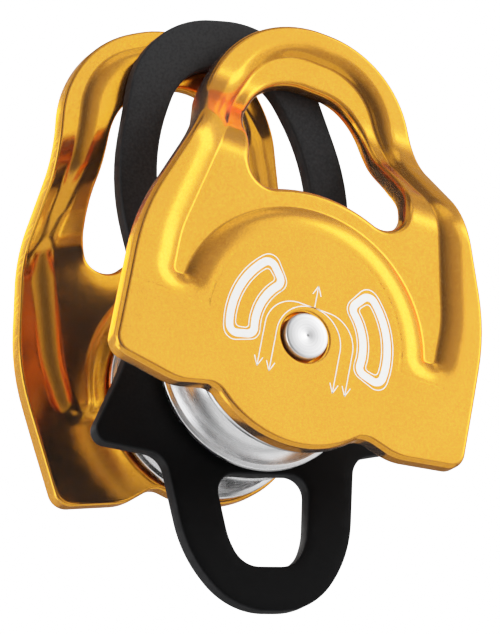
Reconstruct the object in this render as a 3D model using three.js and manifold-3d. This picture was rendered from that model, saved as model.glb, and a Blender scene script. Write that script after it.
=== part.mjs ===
// Double rope pulley with a becket: two grooved sheaves on one riveted axle, with a flat centre plate
// between them and a formed, swinging side plate outside each one.
// Millimetres, +Z up, +Y to the rear. The origin is the top of the centre plate's eye, where a carabiner
// bears; the pieces are drawn round the axle and the whole group is lowered by the eye's height.

import * as THREE from 'three';
import { mergeVertices } from 'three/addons/utils/BufferGeometryUtils.js';
import Module from 'manifold-3d';

const wasm = await Module();
wasm.setup();

// ---- driving dimensions ----------------------------------------------------------------------------

const EYE_TOP = 55.6;             // height of the eye's top edge above the axle
const CENTRE_HALF = 1.5;          // half the centre plate's thickness
const FRONT_TILT = 17.2;          // degrees that the front plate leans to +X at rest
const REAR_TILT = -13;            // and the rear plate, to -X

const TREAD_R = 12.5;             // groove bottom, a 25 mm tread
const FLANGE_R = 19;
const GROOVE_R = 5.7;             // takes rope up to 11 mm
const SHEAVE_HALF = 7.17;         // half the sheave's width
const SHEAVE_Y = 10.22;           // axle station of the sheave's middle
const RIM_LAND = 1.1;             // flat turned rim of a flange

const AXLE_R = 3.5;
const AXLE_HEAD_R = 4.06;
const AXLE_END = 22.95;           // each riveted end face
const HEAD_SEAT = 19.9;           // where the head meets the side plate's counterbore
const BORE_R = 3.68;              // any hole that the shaft runs through
const COUNTERBORE_R = 4.46;       // round the axle's head, in the side plate's outer face
const SPACER_R = 5;
const WASHER_R = 7.5;
const WASHER_THICK = 0.45;

const PLATE_FACE = 22;            // outer face of a side plate, from the middle
const LOOP_FACE = 6.7;            // outer face of its upper loop
const SHEET = 3.8;                // side plate thickness
const PAN_DEPTH = 1.3;            // recess round its hole
const LOOP_PAN_DEPTH = 1.0;       // the same recess in the loop
const RAMP_LOW = 27;              // the joggle from face to loop starts at this height
const RAMP_HIGH = 52;
const BEND_R = 8;                 // the joggle's two bends
const STEP_HALF = 1.1;            // half the width of the recess's sloping edge
const DOME_R = 22.6;              // middle of the recess's edge round the axle
const LOWER_ARC_R = 19.6;         // lower edge of the side plate, just outside the sheave
const GRID = 2.9;                 // spacing of the formed sheet's mesh

const RING_BORE_R = 3.6;          // 7 x 19 x 6 mm ball bearing
const RING_OUTER_R = 9.5;
const RING_HALF = 3;
const INNER_LAND_R = 5.1;
const OUTER_LAND_R = 7.9;
const BALL_R = 1.98;
const BALL_PITCH_R = 6.5;
const BALLS = 7;
const RACE_R = 2.1;
const SEAT_R = 9.65;
const SHOULDER = 1.1;             // how far the sheave reaches in over its bearing, at one end
const CAGE_HALF = 0.75;           // half the cage's thickness, across its ring
const CAGE_FINGER = 0.9;          // how far its fingers reach past the middles of the balls
const SEAL_THICK = 0.3;
const SEAL_INSET = 0.05;

const GAP = 0.15;                 // clearance between neighbours

const { clamp, degToRad, smoothstep, lerp } = THREE.MathUtils;

// ---- materials -------------------------------------------------------------------------------------

function metal(color, roughness, metalness) {
  return new THREE.MeshStandardMaterial({ color, roughness, metalness });
}
const gold = metal(0xe0a02a, 0.28, 0.9);
const black = metal(0x1c1c1e, 0.5, 0.4);
const turned = metal(0xd8dade, 0.3, 0.95);
const steel = metal(0xb9bcc0, 0.25, 1);
const seal = metal(0x26262a, 0.7, 0);
const polymer = metal(0xd9d4c6, 0.6, 0);

// ---- solids ----------------------------------------------------------------------------------------

// A closed geometry as a manifold solid: position only, with shared vertices merged.
function solid(geometry) {
  const bare = new THREE.BufferGeometry();
  bare.setAttribute('position', geometry.getAttribute('position'));
  if (geometry.index) bare.setIndex(geometry.index);
  const merged = mergeVertices(bare, 1e-4);
  return new wasm.Manifold(new wasm.Mesh({
    numProp: 3,
    vertProperties: new Float32Array(merged.getAttribute('position').array),
    triVerts: new Uint32Array(merged.index.array),
  }));
}

function geometryOf(manifold) {
  const mesh = manifold.getMesh();
  const geometry = new THREE.BufferGeometry();
  geometry.setAttribute('position', new THREE.BufferAttribute(mesh.vertProperties, 3));
  geometry.setIndex(new THREE.BufferAttribute(mesh.triVerts, 1));
  geometry.computeVertexNormals();
  return geometry;
}

function cut(geometry, ...tools) {
  let body = solid(geometry);
  for (const tool of tools) body = body.subtract(solid(tool));
  return geometryOf(body);
}

// An outline in X and Z, made solid from y = near to y = far.
function plate(shape, near, far) {
  const geometry = new THREE.ExtrudeGeometry(shape, { depth: far - near, bevelEnabled: false, steps: 1 });
  return geometry.rotateX(Math.PI / 2).translate(0, far, 0);
}

function rod(radius, near, far, segments = 24) {
  return new THREE.CylinderGeometry(radius, radius, far - near, segments).translate(0, (near + far) / 2, 0);
}

// A turned ring about the axle. The profile is a closed list of [radius, y], counter-clockwise.
function turn(profile, segments) {
  const points = [...profile, profile[0]].map(([radius, y]) => new THREE.Vector2(radius, y));
  return new THREE.LatheGeometry(points, segments);
}

function sleeve(inner, outer, near, far, segments = 20) {
  return turn([[inner, near], [outer, near], [outer, far], [inner, far]], segments);
}

// ---- outlines --------------------------------------------------------------------------------------

// Points of an arc round the axle, from one angle to another in degrees.
function arcPoints(radius, from, to, steps) {
  const points = [];
  for (let i = 0; i <= steps; i += 1) {
    const angle = degToRad(lerp(from, to, i / steps));
    points.push([radius * Math.cos(angle), radius * Math.sin(angle), 0]);
  }
  return points;
}

// The corner where a tangent of a circle round the axle meets the upright line at x.
function tangentCorner(radius, degrees, x, fillet) {
  const angle = degToRad(degrees);
  const along = (x - radius * Math.cos(angle)) / Math.sin(angle);
  return [x, radius * Math.sin(angle) - along * Math.cos(angle), fillet];
}

// The right half of an outline, from top to bottom, and its mirror image: a closed outline.
function mirrored(half) {
  const left = half.filter(([x]) => x > 1e-6).map(([x, z, fillet]) => [-x, z, fillet]);
  return [...left, ...[...half].reverse()];
}

// Straight lines through [x, z, fillet] corners, each corner rounded by a true arc of its fillet radius.
function roundedPoints(corners, arcStep = 12) {
  const points = [];
  corners.forEach(([x, z, fillet], i) => {
    const corner = new THREE.Vector2(x, z);
    if (fillet === 0) {
      points.push(corner);
      return;
    }
    const [px, pz] = corners[(i + corners.length - 1) % corners.length];
    const [nx, nz] = corners[(i + 1) % corners.length];
    const back = new THREE.Vector2(px, pz).sub(corner).normalize();
    const ahead = new THREE.Vector2(nx, nz).sub(corner).normalize();
    const halfAngle = Math.acos(clamp(back.dot(ahead), -1, 1)) / 2;
    const inward = back.clone().add(ahead).normalize();
    const middle = inward.multiplyScalar(fillet / Math.sin(halfAngle)).add(corner);
    const start = back.multiplyScalar(fillet / Math.tan(halfAngle)).add(corner).sub(middle);
    const end = ahead.multiplyScalar(fillet / Math.tan(halfAngle)).add(corner).sub(middle);
    const sweep = Math.atan2(start.cross(end), start.dot(end));
    const steps = Math.max(2, Math.ceil(Math.abs(THREE.MathUtils.radToDeg(sweep)) / arcStep));
    for (let step = 0; step <= steps; step += 1) {
      points.push(start.clone().rotateAround(new THREE.Vector2(), sweep * step / steps).add(middle));
    }
  });
  return points;
}

const centreOutline = roundedPoints(mirrored([
  [14.7, 64.3, 17.6],
  [23.3, 33.3, 40],
  [19.6, 12, 12],
  [24.6, -0.2, 60],
  [32.4, -13.5, 2.4],
  [18.4, -15.8, 4],
  [15.8, -33.1, 22],
  [7.8, -43.3, 13.8],
]));

const eyeOutline = roundedPoints(mirrored([
  [7.6, EYE_TOP, 11.9],
  [14.5, 41, 36],
  [15.7, 24, 6],
]));

const slotOutline = roundedPoints(mirrored([
  [9.2, -19, 3.4],
  [7.6, -30.5, 12],
  [5.3, -35.4, 5],
]));

const sideOutline = roundedPoints(mirrored([
  [14.6, 64.2, 20],
  [33.9, 12.6, 40],
  [33.9, -13.3, 3.2],
  [21.1, -15.4, 10],
  [14.2, -13.6, 3.5],
  ...arcPoints(LOWER_ARC_R, -50, -90, 4),
]));

const holeOutline = roundedPoints(mirrored([
  [8.6, 52.8, 10.5],
  [15.4, 37.2, 14],
  tangentCorner(27.3, 68.5, 15.4, 4.2),
  ...arcPoints(27.3, 70, 90, 3),
]));

const panOutline = roundedPoints(mirrored([
  [9.9, 59.6, 13],
  [22.2, 32, 12],
  [26.6, 12, 24],
  [26.6, 2.8, 2],
  [22.5, 2.8, 1.6],
  ...arcPoints(DOME_R, 11, 90, 14),
]));

function shapeOf(outline, ...holes) {
  const shape = new THREE.Shape(outline);
  shape.holes = holes.map((hole) => new THREE.Path(hole));
  return shape;
}

// ---- centre plate and axle -------------------------------------------------------------------------

function centrePlate() {
  const bore = new THREE.Path().absarc(0, 0, BORE_R, 0, 2 * Math.PI).getPoints(8);
  return plate(shapeOf(centreOutline, eyeOutline, slotOutline, bore), -CENTRE_HALF, CENTRE_HALF);
}

// One pin with a swaged head at each end, each head with a broken edge and a shallow centre mark.
function axle() {
  const chamfer = 0.35;
  const markRadius = 1.1;
  const markDepth = 0.5;
  const half = [
    [AXLE_R, HEAD_SEAT],
    [AXLE_HEAD_R, HEAD_SEAT],
    [AXLE_HEAD_R, AXLE_END - chamfer],
    [AXLE_HEAD_R - chamfer, AXLE_END],
    [markRadius, AXLE_END],
    [0, AXLE_END - markDepth],
  ];
  const lower = half.map(([radius, y]) => new THREE.Vector2(radius, -y)).reverse();
  const upper = half.map(([radius, y]) => new THREE.Vector2(radius, y));
  return new THREE.LatheGeometry([...lower, ...upper], 24);
}

// ---- side plate ------------------------------------------------------------------------------------

// Distance from a point to an outline, positive inside it.
function depthInside(outline, x, z) {
  let nearest = Infinity;
  let inside = false;
  outline.forEach((a, i) => {
    const b = outline[(i + 1) % outline.length];
    const length2 = (b.x - a.x) ** 2 + (b.y - a.y) ** 2;
    const along = ((x - a.x) * (b.x - a.x) + (z - a.y) * (b.y - a.y)) / Math.max(length2, 1e-12);
    const t = clamp(along, 0, 1);
    nearest = Math.min(nearest, Math.hypot(x - lerp(a.x, b.x, t), z - lerp(a.y, b.y, t)));
    if ((a.y > z) !== (b.y > z) && x < a.x + (b.x - a.x) * (z - a.y) / (b.y - a.y)) inside = !inside;
  });
  return inside ? nearest : -nearest;
}

// How much of the way from the plate's face to the loop's face: two bends with a straight between.
function joggle(z) {
  const drop = PLATE_FACE - LOOP_FACE;
  const run = RAMP_HIGH - RAMP_LOW;
  const over = 2 * BEND_R - drop;
  const steep = Math.atan2(run, over) - Math.acos(2 * BEND_R / Math.hypot(run, over));
  const bend = BEND_R * Math.sin(steep);
  const first = clamp(z - RAMP_LOW, 0, bend);
  const straight = clamp(z - RAMP_LOW - bend, 0, run - 2 * bend);
  const last = clamp(RAMP_HIGH - z, 0, bend);
  const upper = BEND_R - Math.sqrt(BEND_R ** 2 - first ** 2);
  const lower = Math.sqrt(BEND_R ** 2 - last ** 2) - BEND_R * Math.cos(steep);
  return (upper + straight * Math.tan(steep) + lower) / drop;
}

// How far the sheet's outer surface stands from the pulley's middle at x, z of the side plate.
function outerSurface(x, z) {
  const ramp = joggle(z);
  const recess = smoothstep(depthInside(panOutline, x, z), -STEP_HALF, STEP_HALF);
  return lerp(PLATE_FACE, LOOP_FACE, ramp) - recess * lerp(PAN_DEPTH, LOOP_PAN_DEPTH, ramp);
}

// The inner surface keeps the sheet's thickness square to its slope.
function innerSurface(x, z) {
  const reach = 0.5;
  const rise = (LOOP_FACE - PLATE_FACE) * (joggle(z + reach) - joggle(z - reach));
  return outerSurface(x, z) - SHEET * Math.hypot(1, rise / (2 * reach));
}

// A closed slab between the two surfaces, larger than the plate, lying towards -Y.
function formedSlab() {
  const width = 72;
  const height = 86;
  const low = -21;
  const columns = Math.round(width / GRID);
  const rows = Math.round(height / GRID);
  const slab = new THREE.BoxGeometry(width, 2, height, columns, 1, rows).translate(0, 0, low + height / 2);
  const position = slab.getAttribute('position');
  for (let i = 0; i < position.count; i += 1) {
    const x = position.getX(i);
    const z = position.getZ(i);
    position.setY(i, position.getY(i) < 0 ? -outerSurface(x, z) : -innerSurface(x, z));
  }
  return slab;
}

function sidePlate() {
  const beyond = -PLATE_FACE - 5;
  const sheet = solid(formedSlab()).intersect(solid(plate(shapeOf(sideOutline, holeOutline), beyond, 0)));
  const bore = solid(rod(BORE_R, beyond, 0));
  const counterbore = solid(rod(COUNTERBORE_R, beyond, GAP - HEAD_SEAT));
  return geometryOf(sheet.subtract(bore).subtract(counterbore));
}

// ---- sheave and bearing, drawn round y = 0 ---------------------------------------------------------

// Drawn with the bearing's shoulder towards +Y, the pulley's middle on the front end.
function sheave() {
  const middle = TREAD_R + GROOVE_R;
  const groove = [];
  const steps = 8;
  for (let i = 0; i <= steps; i += 1) {
    const angle = Math.PI * i / steps;
    groove.push([middle - GROOVE_R * Math.sin(angle), -GROOVE_R * Math.cos(angle)]);
  }
  const hub = 11.2;
  const recess = 0.7;
  const web = 16.8;
  return turn([
    [SEAT_R, -SHEAVE_HALF],
    [hub, -SHEAVE_HALF],
    [hub + recess, -SHEAVE_HALF + recess],
    [web, -SHEAVE_HALF + recess],
    [web + recess, -SHEAVE_HALF],
    [FLANGE_R, -SHEAVE_HALF],
    [FLANGE_R, -SHEAVE_HALF + RIM_LAND],
    ...groove,
    [FLANGE_R, SHEAVE_HALF - RIM_LAND],
    [FLANGE_R, SHEAVE_HALF],
    [web + recess, SHEAVE_HALF],
    [web, SHEAVE_HALF - recess],
    [hub + recess, SHEAVE_HALF - recess],
    [hub, SHEAVE_HALF],
    [SEAT_R - SHOULDER, SHEAVE_HALF],
    [SEAT_R - SHOULDER, RING_HALF + GAP],
    [SEAT_R, RING_HALF + GAP],
  ], 36);
}

// A bearing ring's race: an arc in the ball's shape, from one land to the other.
function race(landRadius, side, steps = 4) {
  const reach = Math.acos(Math.abs(landRadius - BALL_PITCH_R) / RACE_R);
  const points = [];
  for (let i = 0; i <= steps; i += 1) {
    const angle = lerp(-reach, reach, i / steps);
    points.push([BALL_PITCH_R + side * RACE_R * Math.cos(angle), RACE_R * Math.sin(angle)]);
  }
  return points;
}

function innerRing() {
  return turn([
    [RING_BORE_R, -RING_HALF],
    [INNER_LAND_R, -RING_HALF],
    ...race(INNER_LAND_R, -1),
    [INNER_LAND_R, RING_HALF],
    [RING_BORE_R, RING_HALF],
  ], 20);
}

function outerRing() {
  return turn([
    [RING_OUTER_R, RING_HALF],
    [OUTER_LAND_R, RING_HALF],
    ...race(OUTER_LAND_R, 1).reverse(),
    [OUTER_LAND_R, -RING_HALF],
    [RING_OUTER_R, -RING_HALF],
  ], 24);
}

function ball(index) {
  const angle = 2 * Math.PI * index / BALLS;
  const sphere = new THREE.SphereGeometry(BALL_R, 8, 6);
  return sphere.translate(BALL_PITCH_R * Math.cos(angle), 0, BALL_PITCH_R * Math.sin(angle));
}

// A crown cage: a ring on one side of the balls, with a finger between each two.
function cage() {
  const pockets = [];
  for (let i = 0; i < BALLS; i += 1) {
    const angle = 2 * Math.PI * i / BALLS;
    const pocket = new THREE.SphereGeometry(BALL_R + GAP, 8, 6);
    pockets.push(pocket.translate(BALL_PITCH_R * Math.cos(angle), 0, BALL_PITCH_R * Math.sin(angle)));
  }
  const back = RING_HALF - SEAL_INSET - SEAL_THICK - GAP;
  const ring = sleeve(BALL_PITCH_R - CAGE_HALF, BALL_PITCH_R + CAGE_HALF, -CAGE_FINGER, back, 3 * BALLS);
  return cut(ring, ...pockets);
}

function bearingSeal(near) {
  return sleeve(INNER_LAND_R + GAP, OUTER_LAND_R - GAP, near, near + SEAL_THICK, 24);
}

// ---- assembly --------------------------------------------------------------------------------------

const pulley = new THREE.Group();
pulley.position.z = -EYE_TOP;

function add(parent, name, geometry, material) {
  const mesh = new THREE.Mesh(geometry, material);
  mesh.name = name;
  parent.add(mesh);
}

add(pulley, 'centre_plate', centrePlate(), black);
add(pulley, 'axle', axle(), steel);

// Each end is drawn as the front one, towards -Y; the rear one is turned half round the Z axis.
function end(name, tilt, turned180) {
  const group = new THREE.Group();
  group.rotation.z = turned180 ? Math.PI : 0;
  pulley.add(group);

  const swing = new THREE.Group();
  swing.rotation.y = degToRad(turned180 ? -tilt : tilt);
  group.add(swing);
  add(swing, `${name}_side_plate`, sidePlate(), gold);

  const bearing = new THREE.Group();
  bearing.position.y = -SHEAVE_Y;
  group.add(bearing);
  add(bearing, `${name}_sheave`, sheave(), turned);
  add(bearing, `${name}_bearing_inner_ring`, innerRing(), steel);
  add(bearing, `${name}_bearing_outer_ring`, outerRing(), steel);
  add(bearing, `${name}_bearing_cage`, cage(), polymer);
  add(bearing, `${name}_bearing_outer_seal`, bearingSeal(-RING_HALF + SEAL_INSET), seal);
  add(bearing, `${name}_bearing_inner_seal`, bearingSeal(RING_HALF - SEAL_INSET - SEAL_THICK), seal);
  for (let i = 0; i < BALLS; i += 1) {
    add(bearing, `${name}_bearing_ball_${i + 1}`, ball(i), steel);
  }

  // Spacers fill the axle from the centre plate out to the bearing, and on to the side plate's washer.
  const plateInside = GAP - (PLATE_FACE - SHEET);
  const washerInside = plateInside + WASHER_THICK;
  const ringOutside = -SHEAVE_Y - RING_HALF - GAP;
  const ringInside = -SHEAVE_Y + RING_HALF + GAP;
  add(group, `${name}_inner_spacer`, sleeve(BORE_R, SPACER_R, ringInside, -CENTRE_HALF - GAP), steel);
  add(group, `${name}_outer_spacer`, sleeve(BORE_R, SPACER_R, washerInside + GAP, ringOutside), steel);
  add(group, `${name}_thrust_washer`, sleeve(BORE_R, WASHER_R, plateInside, washerInside), polymer);
}

end('front', FRONT_TILT, false);
end('rear', REAR_TILT, true);

export default pulley;
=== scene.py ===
"""The looks of the double rope pulley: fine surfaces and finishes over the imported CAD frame.

Lengths are millimetres round the axle (X right, Y to the rear, Z up) until a mesh is made, which turns them
into the row frame's metres.
"""

import math

import bmesh
import bpy
import numpy as np
from mathutils import Matrix, Vector
from mathutils.geometry import delaunay_2d_cdt


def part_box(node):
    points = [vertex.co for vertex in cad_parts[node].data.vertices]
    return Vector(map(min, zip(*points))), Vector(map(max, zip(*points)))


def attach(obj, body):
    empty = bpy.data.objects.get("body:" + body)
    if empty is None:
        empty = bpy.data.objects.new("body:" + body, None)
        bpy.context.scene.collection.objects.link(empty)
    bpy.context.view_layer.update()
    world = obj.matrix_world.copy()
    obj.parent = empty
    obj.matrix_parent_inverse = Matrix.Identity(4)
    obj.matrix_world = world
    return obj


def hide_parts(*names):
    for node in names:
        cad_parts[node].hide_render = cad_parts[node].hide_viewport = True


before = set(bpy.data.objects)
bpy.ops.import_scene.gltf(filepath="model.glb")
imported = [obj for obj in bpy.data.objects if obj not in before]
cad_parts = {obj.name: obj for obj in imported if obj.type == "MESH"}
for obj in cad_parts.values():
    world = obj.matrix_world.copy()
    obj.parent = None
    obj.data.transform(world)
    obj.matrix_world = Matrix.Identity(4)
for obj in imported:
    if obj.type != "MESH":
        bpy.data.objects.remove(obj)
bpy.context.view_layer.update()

# ---- driving dimensions, in millimetres and degrees --------------------------------------------------

MM = 0.001
EYE_TOP = 55.6                           # the row frame's origin stands this far above the axle
CENTRE_HALF, CENTRE_ROUND = 1.5, 0.38
TILT = {"front": 17.2, "rear": -13.0}    # each side plate's lean to the right at rest

TREAD_R, FLANGE_R, GROOVE_R = 12.5, 19.0, 5.7
SHEAVE_HALF, SHEAVE_Y, RIM_LAND = 7.17, 10.22, 1.1
HUB_R, WEB_R, WEB_RECESS = 11.2, 16.8, 0.7
SHEAVE_ROUND, RIM_ROUND, LAND_ROUND, GROOVE_ROUND = 0.22, 0.35, 0.3, 0.2

AXLE_R, AXLE_HEAD_R = 3.5, 4.06
AXLE_END, HEAD_SEAT = 22.95, 19.9
CENTRE_MARK = ((0, 0.16), (0.1, 0.12), (0.2, 0.03), (0.28, 0))     # radius and depth on the axle's end
HEAD_RIM = ((0.42, 0), (0.24, 0.05), (0.08, 0.18), (0, 0.4))       # distance in from the rim, and depth
BORE_R, COUNTERBORE_R = 3.68, 4.46
SPACER_R, WASHER_R, WASHER_THICK = 5.0, 7.5, 0.45

PLATE_FACE, LOOP_FACE, SHEET = 22.0, 6.7, 3.8             # the outer face from the middle, and the thickness
PAN_DEPTH, LOOP_PAN_DEPTH, LOOP_BACK_DEPTH = 1.3, 1.5, 1.0                # the recess's, also on its back
RAMP_LOW, RAMP_HIGH, BEND_R = 27.0, 52.0, 12.5            # the joggle's ends and its two bends
STEP_TOP_R, LOOP_TOP_R, STEP_FOOT_R = 8.5, 4.3, 0.9       # the recess's step: its upper and its lower bend
STEP_AT = 0.9                            # those bends meet this far inside the recess's outline
DOME_R = 22.6                            # the recess's lower side is an arc round the axle
LOWER_ARC_R = 19.6                       # the plate's lower edge
HOLE_ARC_R = 27.3                        # the lower side of the opening in the plate's loop

RING_BORE_R, RING_OUTER_R, RING_HALF = 3.6, 9.5, 3.0
INNER_LAND_R, OUTER_LAND_R = 5.1, 7.9
RING_ROUND, RING_LAND_ROUND = 0.25, 0.12
BALL_R, BALL_PITCH_R, RACE_R, BALLS = 1.98, 6.5, 2.1, 7
SEAT_R, SHOULDER = 9.65, 1.1             # the bearing's seat in its sheave, and the shoulder beside it
SEAL_THICK, SEAL_INSET, SEAL_ROUND = 0.3, 0.05, 0.08
SLEEVE_ROUND = 0.12
GAP = 0.15                               # clearance between neighbours on the axle

EDGE_IN, EDGE_DOWN = 0.8, 1.2            # a side plate's coined outer edge: its reach across and down
HOLE_IN, HOLE_DOWN = 1.2, 1.6            # the same round its opening
BACK_ROUND, BORE_ROUND = 0.55, 0.5
FLAT_R, FLAT_EDGE_Z = 18.6, -0.3         # the face is flat inside this radius, and below this height
FLAT_FALL, FLAT_FALL_REACH = 0.02, 6     # its slope beyond the flat, and how far that goes on
CREASE_HALF, CREASE_DEPTH = 0.3, 0.05    # the faint line round the flat

# ---- fineness of the meshes --------------------------------------------------------------------------

CENTRE_SPACING, CENTRE_GRID, CENTRE_CLEAR, CENTRE_BORE_SIDES = 0.6, 2.0, 1, 64
CENTRE_LOW, CENTRE_HIGH = (-36, -48), (36, 66)            # the grid's corners, beyond the plate all round
SIDE_SPACING, HOLE_SPACING, PAN_SPACING, SIDE_GRID = 0.45, 0.4, 0.5, 0.9
SIDE_LOW, SIDE_HIGH = (-36, -22), (36, 66)
BORE_SIDES, FLAT_SIDES = 72, 160
CENTRE_ROWS, EDGE_ROWS, HOLE_ROWS, BORE_ROWS = 4, 9, 6, 4                 # rows of points in each rounding
PAN_ROWS = (-6.2, -5.2, -4.4, -3.9, -3.6, -3.3, -3.1, -2.9, -2.7, -2.4, -2.1, -1.8, -1.4, -1.0, -0.7, -0.4,
            -0.1, 0.1, 0.3, 0.5, 0.7, 0.9, 1.1, 1.3, 1.5, 1.8, 2.3)
PAN_CLEAR = (-5.6, 2.6)                  # between these distances from the recess's outline there is no grid
CREASE_ROWS = (-0.5, -CREASE_HALF, 0, CREASE_HALF, 0.5)
CREASE_FROM, CREASE_TO, CREASE_SPACING = 19.0, 32, 0.5
CREASE_CLEAR, BORE_CLEAR = 0.9, 1.2
EDGE_GUARD, BORE_GUARD = 0.3, 0.7        # one more row of points, past the end of an edge's rounding
EDGE_CLEAR, HOLE_CLEAR = 0.5, 0.35       # other points stay this far from a rounding
SLIVER = 0.01                            # points nearer an edge than this would make slivers
SLOPE_STEP = 0.1
TURNED_SIDES, OUTER_RING_SIDES, SHEAVE_SIDES, BALL_SIDES, BALL_STEPS = 96, 128, 180, 24, 16

# ---- outlines ----------------------------------------------------------------------------------------


def arc_points(radius, start, end, steps):
    """Corners along an arc round the axle, from one angle to another in degrees."""
    angles = np.radians(np.linspace(start, end, steps + 1))
    return [(radius * math.cos(a), radius * math.sin(a), 0) for a in angles]


def tangent_corner(radius, degrees, x, fillet):
    """The corner where a tangent of a circle round the axle meets the upright line at x."""
    angle = math.radians(degrees)
    along = (x - radius * math.cos(angle)) / math.sin(angle)
    return (x, radius * math.sin(angle) - along * math.cos(angle), fillet)


def mirrored(half):
    """The right half of an outline, from top to bottom, and its mirror image: counter-clockwise corners."""
    return [(-x, z, fillet) for x, z, fillet in half if x > 1e-6] + half[::-1]


def rounded(corners, arc_step=4.0):
    """Straight lines through (x, z, fillet) corners, each corner rounded by a true arc."""
    points = []
    for i, (x, z, fillet) in enumerate(corners):
        corner = np.array((x, z))
        if fillet == 0:
            points.append(corner)
            continue
        back = np.array(corners[i - 1][:2]) - corner
        ahead = np.array(corners[(i + 1) % len(corners)][:2]) - corner
        back, ahead = back / np.hypot(*back), ahead / np.hypot(*ahead)
        half_angle = math.acos(np.clip(back @ ahead, -1, 1)) / 2
        inward = (back + ahead) / np.hypot(*(back + ahead))
        middle = corner + inward * fillet / math.sin(half_angle)
        start = corner + back * fillet / math.tan(half_angle) - middle
        end = corner + ahead * fillet / math.tan(half_angle) - middle
        sweep = math.atan2(start[0] * end[1] - start[1] * end[0], start @ end)
        steps = max(2, math.ceil(abs(math.degrees(sweep)) / arc_step))
        for angle in np.linspace(0, sweep, steps + 1):
            c, s = math.cos(angle), math.sin(angle)
            points.append(middle + (start[0] * c - start[1] * s, start[0] * s + start[1] * c))
    return np.array(points)


def evenly(loop, spacing, fewest=8):
    """A closed loop's points again, at an even spacing."""
    closed = np.vstack([loop, loop[:1]])
    along = np.concatenate([[0], np.cumsum(np.hypot(*np.diff(closed, axis=0).T))])
    count = max(fewest, round(along[-1] / spacing))
    at = np.arange(count) * along[-1] / count
    return np.stack([np.interp(at, along, closed[:, k]) for k in (0, 1)], 1)


def circle(radius, count):
    """Points of a circle round the axle."""
    angles = np.linspace(0, 2 * math.pi, count, endpoint=False)
    return radius * np.stack([np.cos(angles), np.sin(angles)], 1)


# Right halves, as corners (x, z, fillet) from the top to the middle of the bottom.
centre_outline = rounded(mirrored([
    (14.7, 64.3, 17.6),
    (23.3, 33.3, 40),
    (19.6, 12, 12),
    (24.6, -0.2, 60),
    (32.4, -13.5, 2.4),
    (18.4, -15.8, 4),
    (15.8, -33.1, 22),
    (7.8, -43.3, 13.8),
]))
eye_outline = rounded(mirrored([(7.6, EYE_TOP, 11.9), (14.5, 41, 36), (15.7, 24, 6)]))
slot_outline = rounded(mirrored([(9.2, -19, 3.4), (7.6, -30.5, 12), (5.3, -35.4, 5)]))
side_outline = rounded(mirrored([
    (14.6, 64.2, 20),
    (33.9, 12.6, 40),
    (33.9, -13.3, 3.2),
    (21.1, -15.4, 10),
    (14.2, -13.6, 3.5),
    *arc_points(LOWER_ARC_R, -50, -90, 12),
]))
hole_outline = rounded(mirrored([
    (8.6, 52.8, 10.5),
    (15.4, 37.2, 14),
    tangent_corner(HOLE_ARC_R, 68.5, 15.4, 4.2),
    *arc_points(HOLE_ARC_R, 70, 90, 8),
]))
pan_outline = rounded(mirrored([
    (9.9, 59.6, 13),
    (22.2, 32, 12),
    (26.6, 12, 24),
    (26.6, 2.8, 2),
    (22.5, 2.8, 1.6),
    *arc_points(DOME_R, 11, 90, 40),
]))

# ---- plane geometry ----------------------------------------------------------------------------------


def inside_distance(loop, points, chunk=2000):
    """Distance from each point to a closed loop, positive inside it, worked out a chunk at a time."""
    start, side = loop, np.roll(loop, -1, 0) - loop
    rise = np.where(np.abs(side[:, 1]) < 1e-12, 1e-12, side[:, 1])
    found = np.empty(len(points))
    for first in range(0, len(points), chunk):
        p = points[first:first + chunk, None]
        share = np.clip(((p - start) * side).sum(2) / (side**2).sum(1), 0, 1)
        gap = p - start - share[..., None] * side
        near = np.sqrt((gap**2).sum(2)).min(1)
        crosses = (start[:, 1] > p[..., 1]) != (start[:, 1] + side[:, 1] > p[..., 1])
        meets = start[:, 0] + side[:, 0] * (p[..., 1] - start[:, 1]) / rise
        inside = (crosses & (p[..., 0] < meets)).sum(1) % 2 == 1
        found[first:first + chunk] = np.where(inside, near, -near)
    return found


def offsets(loop, distances, tolerance=0.04):
    """Points at these distances inside (or, when negative, outside) a counter-clockwise loop.

    Where an offset row would cross itself, its points are nearer the loop than they should be and are dropped.
    """
    along = np.roll(loop, -1, 0) - np.roll(loop, 1, 0)
    inward = np.stack([-along[:, 1], along[:, 0]], 1) / np.hypot(*along.T)[:, None]
    rows = []
    for distance in distances:
        row = loop + inward * distance
        true = inside_distance(loop, row)
        rows.append(row[np.abs(true - distance) < tolerance * abs(distance) + 1e-6])
    return np.vstack(rows)


def round_steps(radius, count):
    """Distances from an edge at which its rounding is cut into equal angles."""
    return radius * (1 - np.cos(np.radians(np.linspace(0, 90, count + 1)[1:])))


def hex_grid(low, high, spacing):
    """Points of a triangular grid between two corners."""
    rows = np.arange(low[1], high[1], spacing * math.sqrt(3) / 2)
    columns = np.arange(low[0], high[0], spacing)
    return np.array([(x + (i % 2) * spacing / 2, z) for i, z in enumerate(rows) for x in columns])


def smoothstep(value, low, high):
    """0 below low, 1 above high, and smooth between."""
    t = np.clip((value - low) / (high - low), 0, 1)
    return t * t * (3 - 2 * t)


def rounding(distance, across, down=None):
    """How far a rounded edge has fallen at this distance inside it: a quarter circle or ellipse."""
    reach = np.clip(1 - distance / across, 0, 1)
    return (down or across) * (1 - np.sqrt(1 - reach**2))


def bent(along, drop, first, second):
    """Fall from 0 to drop through two bends of these radii that meet where along is 0."""
    sine = np.sqrt(1 - (1 - drop / (first + second))**2)
    before = np.clip(along + first * sine, 0, first * sine)
    after = np.clip(second * sine - along, 0, second * sine)
    upper = first - np.sqrt(first**2 - before**2)
    lower = drop - second + np.sqrt(second**2 - after**2)
    return np.where(along < 0, upper, lower)


# ---- meshes ------------------------------------------------------------------------------------------


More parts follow.
